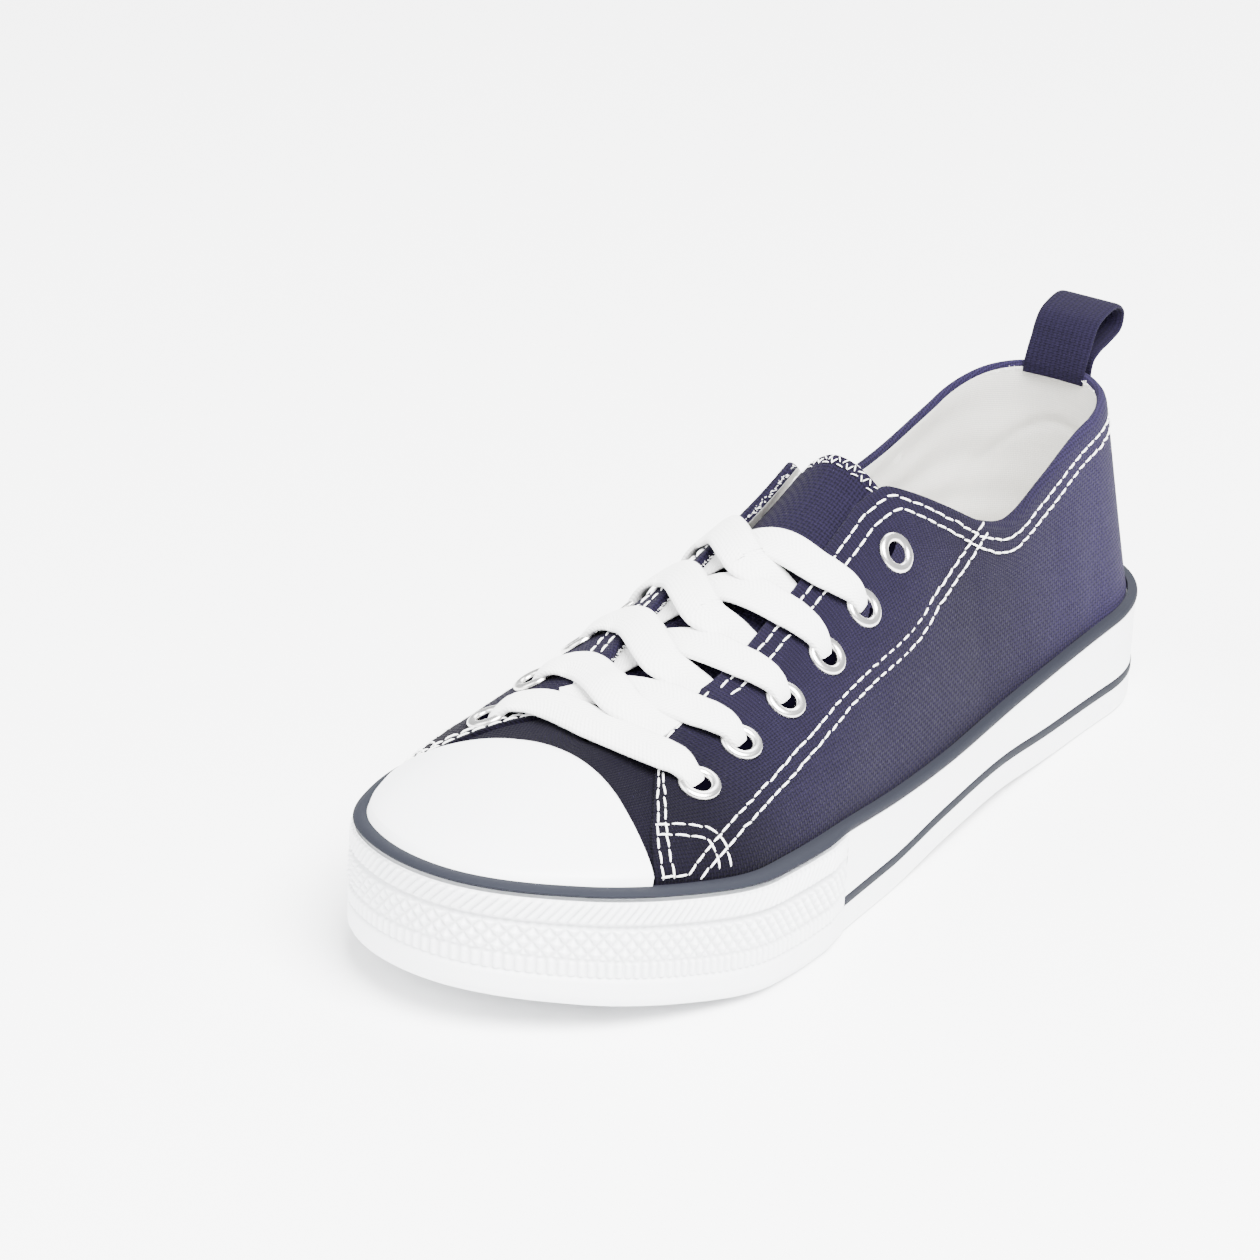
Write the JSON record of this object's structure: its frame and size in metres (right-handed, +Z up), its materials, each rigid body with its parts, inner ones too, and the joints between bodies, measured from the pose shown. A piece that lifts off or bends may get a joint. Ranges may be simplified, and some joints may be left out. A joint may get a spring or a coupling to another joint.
{
  "type": "canvas sneaker",
  "caption": "Low canvas lace-up sneaker, left shoe, with rubber toe cap, toe bumper, striped rubber side wall and a heel pull loop.",
  "frame": {"origin": "centre of the footprint on the ground, the pull loop behind the heel counted in", "axes": "+X to the toe, +Y the wearer's left (the outer side of this left shoe), +Z up"},
  "size_m": [0.2708, 0.0954, 0.0896],
  "materials": {
    "white_rubber": "smooth white rubber, satin",
    "tread_rubber": "matt off-white tread rubber",
    "dark_rubber": "dark grey-blue rubber, satin",
    "canvas": "navy cotton canvas, plain weave",
    "lining": "off-white cotton lining",
    "cotton": "white flat woven lace",
    "nickel": "polished nickel-plated brass"
  },
  "bodies": {
    "root": {"outsole": "tread_rubber", "midsole": "white_rubber", "toe_bumper": "white_rubber", "stripe_top": "dark_rubber", "stripe_low": "dark_rubber", "toe_cap": "white_rubber", "upper": "canvas", "tongue": "canvas", "insole": "lining", "pull_loop": "canvas", "eyelet_lateral_1": "nickel", "eyelet_medial_1": "nickel", "eyelet_lateral_2": "nickel", "eyelet_medial_2": "nickel", "eyelet_lateral_3": "nickel", "eyelet_medial_3": "nickel", "eyelet_lateral_4": "nickel", "eyelet_medial_4": "nickel", "eyelet_lateral_5": "nickel", "eyelet_medial_5": "nickel", "eyelet_lateral_6": "nickel", "eyelet_medial_6": "nickel", "lace_bar": "cotton", "lace_crossing_1": "cotton", "lace_crossing_2": "cotton", "lace_crossing_3": "cotton", "lace_crossing_4": "cotton"}
  },
  "joints": []
}
